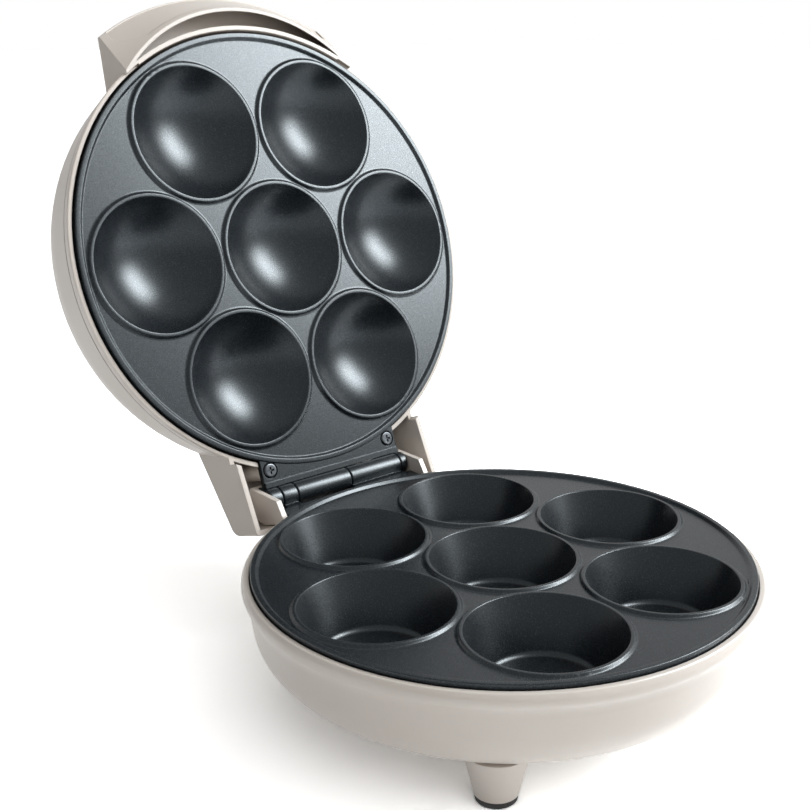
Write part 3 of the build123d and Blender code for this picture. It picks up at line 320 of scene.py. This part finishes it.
def hinge_leaf(mesh, parity, plate_outer, reach, face_z, back_z, web_z, pockets=()):
    """The flat tongue behind a plate, its webs and its barrels."""
    inner = plate_outer - rim_width / 2
    arc = []
    for k in range(leaf_steps + 1):
        x = -flange_half + 2 * flange_half * k / leaf_steps
        arc.append((x, sqrt(inner**2 - x**2)))
    outline = arc + [(flange_half, reach), (-flange_half, reach)]
    slab(mesh, outline, face_z, back_z, pockets)
    along_x = Matrix.Translation((0, hinge_y, hinge_z)) @ Matrix.Rotation(pi / 2, 4, "Y")
    for low, high in knuckle_spans(parity):
        box_slab(mesh, low, high, reach - web_overlap, hinge_y, web_z, web_z + flange_thickness)
        corners = [(bore_radius, low, 0), (barrel_radius, low, barrel_round),
                   (barrel_radius, high, barrel_round), (bore_radius, high, 0),
                   (bore_radius, low, 0)]
        spin(mesh, rounded(corners), (0, 0), barrel_steps, along_x)


def cooking_plate(kind, hollow, shell, shell_radius):
    """A plate's floor, beads, cups, rim, skirt and back, drawn as one closed skin."""
    sizes = plates[kind]
    side, outer, rim_z = sizes["side"], sizes["outer"], sizes["rim_z"]
    floor_z = rim_z + side * plate_step
    back_z = floor_z + side * sizes["wall"]
    crown_z = floor_z - side * bead_height
    skirt_z = rim_z + side * skirt_drop
    rim_inner = outer - rim_width
    skirt_inner = outer - skirt_wall
    sheet_outer = rim_inner - rim_slope - 2 * flat_margin
    crown_inner = cup_rim_radius + 2 * lip_round
    mesh = bmesh.new()
    holed_sheet(mesh, floor_z, sheet_outer, crown_inner, -side * bead_height,
                cup_rim_radius + bead_width - crown_inner)
    spin(mesh, rounded([
        (sheet_outer, floor_z, 0), (rim_inner - rim_slope, floor_z, rim_round),
        (rim_inner, rim_z, rim_round), (outer, rim_z, rim_round),
        (outer, skirt_z, skirt_round), (skirt_inner, skirt_z, skirt_round),
        (skirt_inner, back_z, 0)]))
    holed_sheet(mesh, back_z, skirt_inner, shell_radius(back_z))
    for place in cup_places:
        spin(mesh, rounded([(crown_inner, crown_z, 0)] + hollow(crown_z)), place, cup_steps)
        spin(mesh, rounded(shell(back_z)), place, cup_steps)
    return mesh


def lower_plate():
    """The lower plate with its tapered cups, and its leaf with two barrels."""
    mesh = cooking_plate(
        "lower",
        lambda crown_z: cup_profile(0.0, crown_z, lip_round),
        lambda back_z: cup_profile(lower_cup_wall, back_z, 0.0),
        lambda back_z: cup_rim_radius + lower_cup_wall + back_z * cup_slope)
    face_z = -plate_step - lower_flange_drop
    hinge_leaf(mesh, 1, plates["lower"]["outer"], hinge_y - lower_flange_gap, face_z,
               face_z - flange_thickness, hinge_z - barrel_radius)
    finished(mesh, "lower_plate_skin", "base", "lower_cooking_plate")


def upper_plate():
    """The upper plate with its domes, and its leaf with three barrels, screw recesses and a
    ridge.
    """
    rim_z = plates["upper"]["rim_z"]
    crown_z = rim_z + plate_step - bead_height
    mesh = cooking_plate(
        "upper",
        lambda mouth_z: dome_profile(0.0, crown_z, mouth_z, lip_round),
        lambda back_z: dome_profile(dome_wall, crown_z, back_z, 0.0),
        lambda back_z: dome_profile(dome_wall, crown_z, back_z, 0.0)[0][0])
    face_z = rim_z + upper_flange_recess
    reach = hinge_y - upper_flange_gap
    screw_x = flange_half - screw_inset
    pockets = [((x, reach - screw_back), recess_radius, face_z + recess_depth)
               for x in (-screw_x, screw_x)]
    hinge_leaf(mesh, 0, plates["upper"]["outer"], reach, face_z, face_z + flange_thickness,
               hinge_z + barrel_radius - flange_thickness, pockets)
    box_slab(mesh, -flange_half, flange_half, reach - ridge_width, reach,
             face_z - ridge_height, face_z + ridge_height)
    finished(mesh, "upper_plate_skin", "lid", "upper_cooking_plate")


# Node helpers for materials. A Mix node has sockets of one name for each type, so those for
# colour are picked by their place.
mix_colour_a, mix_colour_b, mix_colour_result = 6, 7, 2
cloud_detail = 4.0
ripple_detail = 3.0
fine_detail = 2.0
grain_per_cloud = 8
cloud_dark_at, cloud_light_at = 0.3, 0.7


def new_material(name):
    """A material with its node tree and its Principled shader."""
    material = bpy.data.materials.new(name)
    material.use_nodes = True
    tree = material.node_tree
    return material, tree, tree.nodes["Principled BSDF"]


def node(tree, kind, **settings):
    """A node with its settings; names that start with in_ set its sockets."""
    made = tree.nodes.new(kind)
    for key, value in settings.items():
        if key.startswith("in_"):
            made.inputs[key[3:].replace("_", " ")].default_value = value
        else:
            setattr(made, key, value)
    return made


def noise(tree, scale, detail):
    """Noise that is fixed to the object."""
    place = node(tree, "ShaderNodeTexCoord")
    made = node(tree, "ShaderNodeTexNoise", in_Scale=scale, in_Detail=detail)
    tree.links.new(place.outputs["Object"], made.inputs["Vector"])
    return made.outputs["Fac"]


def ramp(tree, source, stops):
    """A colour ramp; stops are (position, colour)."""
    made = node(tree, "ShaderNodeValToRGB")
    elements = made.color_ramp.elements
    while len(elements) < len(stops):
        elements.new(0.5)
    for element, (position, colour) in zip(elements, stops):
        element.position = position
        element.color = (*colour, 1.0)
    tree.links.new(source, made.inputs["Fac"])
    return made.outputs["Color"]


def clouded(tree, cloud, dark, light):
    """A colour that drifts between two tones."""
    return ramp(tree, cloud, [(cloud_dark_at, dark), (cloud_light_at, light)])


def mapped(tree, source, low, high):
    """A value spread evenly between two limits."""
    made = node(tree, "ShaderNodeMapRange", in_To_Min=low, in_To_Max=high)
    tree.links.new(source, made.inputs["Value"])
    return made.outputs["Result"]


def bump(tree, shader, height, strength, distance, edge_radius=0.0):
    """Surface relief, over edges that look rounded where an edge radius is given."""
    made = node(tree, "ShaderNodeBump", in_Strength=strength, in_Distance=distance)
    tree.links.new(height, made.inputs["Height"])
    if edge_radius:
        soft = node(tree, "ShaderNodeBevel", samples=4, in_Radius=edge_radius)
        tree.links.new(soft.outputs["Normal"], made.inputs["Normal"])
    tree.links.new(made.outputs["Normal"], shader.inputs["Normal"])


# Materials

plastic_dark = (0.715, 0.670, 0.625)
plastic_light = (0.75, 0.71, 0.665)
# Painted shade: how far ambient occlusion looks, and where its darkening starts and ends
painted_shade_reach = 12 * MM
painted_shade_darkest_at, painted_shade_clear_at = 0.05, 0.75


def moulded_plastic(name, painted_shade_colour, ior):
    """Warm white plastic, faintly cloudy and rippled, with painted shade that darkens its colour
    down in its recesses.
    """
    material, tree, shader = new_material(name)
    cloud = noise(tree, scale=14.0, detail=cloud_detail)
    colour = clouded(tree, cloud, plastic_dark, plastic_light)
    # Painted shade: ambient occlusion darkens the base colour in recesses and between parts,
    # toward the painted shade colour
    open_share = node(tree, "ShaderNodeAmbientOcclusion", samples=8, in_Distance=painted_shade_reach)
    painted_shade = ramp(tree, open_share.outputs["AO"],
                  [(painted_shade_darkest_at, painted_shade_colour), (painted_shade_clear_at, (1.0, 1.0, 1.0))])
    with_painted_shade = node(tree, "ShaderNodeMix", data_type="RGBA", blend_type="MULTIPLY", in_Factor=1.0)
    tree.links.new(colour, with_painted_shade.inputs[mix_colour_a])
    tree.links.new(painted_shade, with_painted_shade.inputs[mix_colour_b])
    tree.links.new(with_painted_shade.outputs[mix_colour_result], shader.inputs["Base Color"])
    fine = noise(tree, scale=900.0, detail=fine_detail)
    tree.links.new(mapped(tree, fine, low=0.32, high=0.40), shader.inputs["Roughness"])
    ripple = noise(tree, scale=220.0, detail=ripple_detail)
    bump(tree, shader, ripple, strength=0.04, distance=0.2 * MM, edge_radius=0.6 * MM)
    shader.inputs["IOR"].default_value = ior
    return material


coating_speckle = [(0.0, (0.004, 0.006, 0.008)), (0.7, (0.008, 0.011, 0.014)),
                   (0.93, (0.018, 0.023, 0.028)), (1.0, (0.06, 0.07, 0.08))]


def nonstick():
    """Dark blue-grey non-stick coating with a very fine metallic speckle."""
    material, tree, shader = new_material("speckled_nonstick_coating")
    place = node(tree, "ShaderNodeTexCoord")
    cells = node(tree, "ShaderNodeTexVoronoi", in_Scale=4200.0)
    tree.links.new(place.outputs["Object"], cells.inputs["Vector"])
    split = node(tree, "ShaderNodeSeparateColor")
    tree.links.new(cells.outputs["Color"], split.inputs["Color"])
    speckle = ramp(tree, split.outputs["Red"], coating_speckle)
    tree.links.new(speckle, shader.inputs["Base Color"])
    roughness = mapped(tree, split.outputs["Green"], low=0.25, high=0.33)
    tree.links.new(roughness, shader.inputs["Roughness"])
    grain = noise(tree, scale=3400.0, detail=fine_detail)
    bump(tree, shader, grain, strength=0.08, distance=0.1 * MM, edge_radius=0.4 * MM)
    shader.inputs["IOR"].default_value = 1.37
    shader.inputs["Specular Tint"].default_value = (0.86, 0.95, 1.0, 1.0)
    return material


def worn_metal(name, dark, light, roughness, scale=300.0):
    """Plain metal with clouded colour, and roughness between two limits."""
    material, tree, shader = new_material(name)
    cloud = noise(tree, scale, cloud_detail)
    tree.links.new(clouded(tree, cloud, dark, light), shader.inputs["Base Color"])
    tree.links.new(mapped(tree, cloud, *roughness), shader.inputs["Roughness"])
    fine = noise(tree, scale * grain_per_cloud, fine_detail)
    bump(tree, shader, fine, strength=0.08, distance=0.2 * MM)
    shader.inputs["Metallic"].default_value = 1.0
    return material


def matte_solid(name, dark, light, roughness, scale=400.0):
    """Rubber, ceramic or matte plastic with a fine grain, and roughness between two limits."""
    material, tree, shader = new_material(name)
    cloud = noise(tree, scale, cloud_detail)
    tree.links.new(clouded(tree, cloud, dark, light), shader.inputs["Base Color"])
    tree.links.new(mapped(tree, cloud, *roughness), shader.inputs["Roughness"])
    bump(tree, shader, cloud, strength=0.15, distance=0.3 * MM)
    return material


def clear_plastic(name, colour, deep_share=0.8):
    """Tinted clear plastic for a lamp's lens."""
    material, tree, shader = new_material(name)
    cloud = noise(tree, scale=200.0, detail=fine_detail)
    deep = tuple(deep_share * part for part in colour)
    tree.links.new(clouded(tree, cloud, deep, colour), shader.inputs["Base Color"])
    tree.links.new(mapped(tree, cloud, low=0.08, high=0.14), shader.inputs["Roughness"])
    shader.inputs["Transmission Weight"].default_value = 0.7
    shader.inputs["IOR"].default_value = 1.49
    return material


coating = nonstick()
screw_steel = worn_metal("dark_zinc_steel", (0.10, 0.10, 0.11), (0.22, 0.22, 0.23),
                         roughness=(0.3, 0.45))
blackened_steel = worn_metal("blackened_steel", (0.03, 0.033, 0.036), (0.06, 0.065, 0.07),
                             roughness=(0.28, 0.4))
pin_steel = worn_metal("plain_pin_steel", (0.38, 0.38, 0.39), (0.5, 0.5, 0.5),
                       roughness=(0.25, 0.4))
element_steel = worn_metal("heat_darkened_steel", (0.12, 0.10, 0.09), (0.25, 0.22, 0.2),
                           roughness=(0.4, 0.6))
zinc_sheet = worn_metal("zinc_plated_sheet", (0.42, 0.42, 0.41), (0.6, 0.6, 0.58),
                        roughness=(0.3, 0.5), scale=120.0)
aluminium_sheet = worn_metal("aluminium_sheet", (0.62, 0.62, 0.63), (0.78, 0.78, 0.79),
                             roughness=(0.28, 0.42), scale=120.0)
brass = worn_metal("brass_tag", (0.55, 0.42, 0.20), (0.72, 0.58, 0.30), roughness=(0.25, 0.4))
rubber = matte_solid("black_rubber", (0.012, 0.012, 0.012), (0.022, 0.022, 0.022),
                     roughness=(0.6, 0.8))
black_plastic = matte_solid("matte_black_plastic", (0.02, 0.02, 0.02), (0.035, 0.035, 0.035),
                            roughness=(0.45, 0.6))
grey_plastic = matte_solid("matte_grey_plastic", (0.12, 0.12, 0.12), (0.18, 0.18, 0.18),
                           roughness=(0.45, 0.6))
ceramic = matte_solid("off_white_ceramic", (0.70, 0.68, 0.62), (0.80, 0.78, 0.72),
                      roughness=(0.35, 0.5))

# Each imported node's finish
finishes = [
    # The base and the lid are one plastic; their materials differ in how dark the painted shade
    # in their recesses is, and in IOR
    (moulded_plastic("warm_white_base_plastic", painted_shade_colour=(0.86, 0.83, 0.81), ior=1.4),
     ["base_housing"]),
    (moulded_plastic("warm_white_lid_plastic", painted_shade_colour=(0.32, 0.27, 0.24), ior=1.2),
     ["lid_housing"]),
    (coating, ["lower_cooking_plate", "upper_cooking_plate"]),
    (blackened_steel, ["hinge_flange_screws"]),
    (screw_steel, ["lower_clamp_screws", "lower_plate_screws", "lower_thermostat_screws",
                   "earth_screw", "upper_clamp_screws", "upper_shield_screws",
                   "upper_thermostat_screws", "lamp_holder_screws"]),
    (pin_steel, ["hinge_pin"]),
    (element_steel, ["lower_heating_element", "upper_heating_element"]),
    (zinc_sheet, ["lower_element_clamp", "upper_element_clamp", "lower_heat_shield",
                  "fuse_clip"]),
    (aluminium_sheet, ["upper_heat_shield"]),
    (brass, ["earth_tag"]),
    (ceramic, ["lower_thermostat", "upper_thermostat", "thermal_fuse", "terminal_block"]),
    (rubber, ["rubber_feet"]),
    (black_plastic, ["cord_inlet_bushing"]),
    (grey_plastic, ["lamp_holder"]),
    (clear_plastic("red_lens_plastic", (0.75, 0.05, 0.04)), ["power_lamp_lens"]),
    (clear_plastic("green_lens_plastic", (0.05, 0.55, 0.12)), ["ready_lamp_lens"]),
    (clear_plastic("lamp_glass", (0.95, 0.85, 0.75)), ["indicator_lamps"]),
]

crown_reach = 1.0 * MM


def straighten_crown(mesh):
    """Straightens the normals at the lid's crown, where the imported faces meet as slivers."""
    lid_closes = lid_opens.inverted()
    crown_up = lid_opens.to_3x3() @ Vector((0, 0, 1))
    normals = [corner.vector.copy() for corner in mesh.corner_normals]
    for loop in mesh.loops:
        corner = lid_closes @ mesh.vertices[loop.vertex_index].co
        if corner.xy.length < crown_reach:
            facing = 1 if normals[loop.index].dot(crown_up) > 0 else -1
            normals[loop.index] = facing * crown_up
    packed = mesh.attributes.get("custom_normal")
    if packed is not None:
        mesh.attributes.remove(packed)
    made = mesh.attributes.new("custom_normal", "FLOAT_VECTOR", "CORNER")
    made.data.foreach_set("vector", [part for normal in normals for part in normal])


for material, names in finishes:
    for name in names:
        node_mesh = nodes[name].data
        node_mesh.materials.clear()
        node_mesh.materials.append(material)
        node_mesh.shade_smooth()
        node_mesh.set_sharp_from_angle(angle=cad_sharp_angle)
straighten_crown(nodes["lid_housing"].data)
lower_plate()
upper_plate()

# Camera at the photograph's viewpoint
image_side = 810.0
focal_pixels = 1219.9
axis_pixel_x = 450.0
camera_place = Vector((-0.329217, -0.337497, rim_height + 0.213794))
camera_forward = Vector((0.633806, 0.713468, -0.298754))
sensor_width = 36.0

camera_data = bpy.data.cameras.new("camera")
camera_data.sensor_width = sensor_width
camera_data.lens = focal_pixels / image_side * sensor_width
camera_data.shift_x = (image_side / 2 - axis_pixel_x) / image_side
camera = bpy.data.objects.new("camera", camera_data)
bpy.context.scene.collection.objects.link(camera)
camera.location = camera_place
camera.rotation_euler = camera_forward.to_track_quat("-Z", "Y").to_euler()
bpy.context.scene.camera = camera

# Floor, lamps and world, in metres
floor_half = 12.0
floor_colour = (0.9, 0.9, 0.9, 1)
floor_seen_colour = (2.7, 2.8, 2.9, 1)
lamp_target = (0.0, 0.05, 0.12)
softbox_place = (0.78, -0.50, 0.82)
softbox_colour = (0.97, 0.99, 1.0)
world_brightest_toward = Vector((0.5, -0.65, 0.55)).normalized()
world_colour = (1.0, 0.965, 0.93, 1)
world_least, world_most = 0.16, 1.03


def area_lamp(name, size, power, shine_only=False):
    """A lamp at the soft box's place; one that is shine_only shows in reflections alone."""
    data = bpy.data.lights.new(name, "AREA")
    data.shape = "RECTANGLE"
    data.size, data.size_y = size
    data.energy = power
    data.color = softbox_colour
    lamp = bpy.data.objects.new(name, data)
    bpy.context.scene.collection.objects.link(lamp)
    lamp.visible_diffuse = not shine_only
    lamp.location = softbox_place
    toward = Vector(lamp_target) - Vector(softbox_place)
    lamp.rotation_euler = toward.to_track_quat("-Z", "Y").to_euler()


def white_where_seen(tree, plain, white):
    """Mixes in plain white where the camera, a reflection or clear plastic sees the surface."""
    path = node(tree, "ShaderNodeLightPath")
    seen = path.outputs["Is Camera Ray"]
    for ray in ("Is Glossy Ray", "Is Transmission Ray"):
        either = node(tree, "ShaderNodeMath", operation="MAXIMUM")
        tree.links.new(seen, either.inputs[0])
        tree.links.new(path.outputs[ray], either.inputs[1])
        seen = either.outputs[0]
    mix = node(tree, "ShaderNodeMixShader")
    tree.links.new(seen, mix.inputs["Fac"])
    tree.links.new(plain, mix.inputs[1])
    tree.links.new(white, mix.inputs[2])
    return mix.outputs[0]


def light_world():
    """Soft light that is strongest from the front right, behind a background seen as white."""
    world = bpy.data.worlds.new("world")
    bpy.context.scene.world = world
    world.use_nodes = True
    tree = world.node_tree
    tree.nodes.clear()
    place = node(tree, "ShaderNodeTexCoord")
    toward = node(tree, "ShaderNodeVectorMath", operation="DOT_PRODUCT")
    toward.inputs[1].default_value = world_brightest_toward
    tree.links.new(place.outputs["Generated"], toward.inputs[0])
    plain = node(tree, "ShaderNodeBackground", in_Color=world_colour)
    strength = mapped(tree, toward.outputs["Value"], world_least, world_most)
    tree.links.new(strength, plain.inputs["Strength"])
    white = node(tree, "ShaderNodeBackground", in_Color=(1, 1, 1, 1), in_Strength=1.0)
    out = node(tree, "ShaderNodeOutputWorld")
    seen = white_where_seen(tree, plain.outputs[0], white.outputs[0])
    tree.links.new(seen, out.inputs["Surface"])


def floor_material():
    """A pale floor that the camera and reflections see as part of the white background."""
    material, tree, shader = new_material("pale_floor")
    tree.nodes.remove(shader)
    plain = node(tree, "ShaderNodeBsdfDiffuse", in_Color=floor_colour)
    white = node(tree, "ShaderNodeBsdfDiffuse", in_Color=floor_seen_colour)
    seen = white_where_seen(tree, plain.outputs[0], white.outputs[0])
    tree.links.new(seen, tree.nodes["Material Output"].inputs["Surface"])
    return material


floor_mesh = bpy.data.meshes.new("floor")
floor_corners = [(-floor_half, -floor_half, 0), (floor_half, -floor_half, 0),
                 (floor_half, floor_half, 0), (-floor_half, floor_half, 0)]
floor_mesh.from_pydata(floor_corners, [], [(0, 1, 2, 3)])
floor_mesh.materials.append(floor_material())
floor = bpy.data.objects.new("floor", floor_mesh)
bpy.context.scene.collection.objects.link(floor)

area_lamp("key", (0.45, 0.85), 9.5)
area_lamp("shine", (0.42, 0.8), 70, shine_only=True)
light_world()
bpy.context.scene.view_settings.view_transform = "Standard"
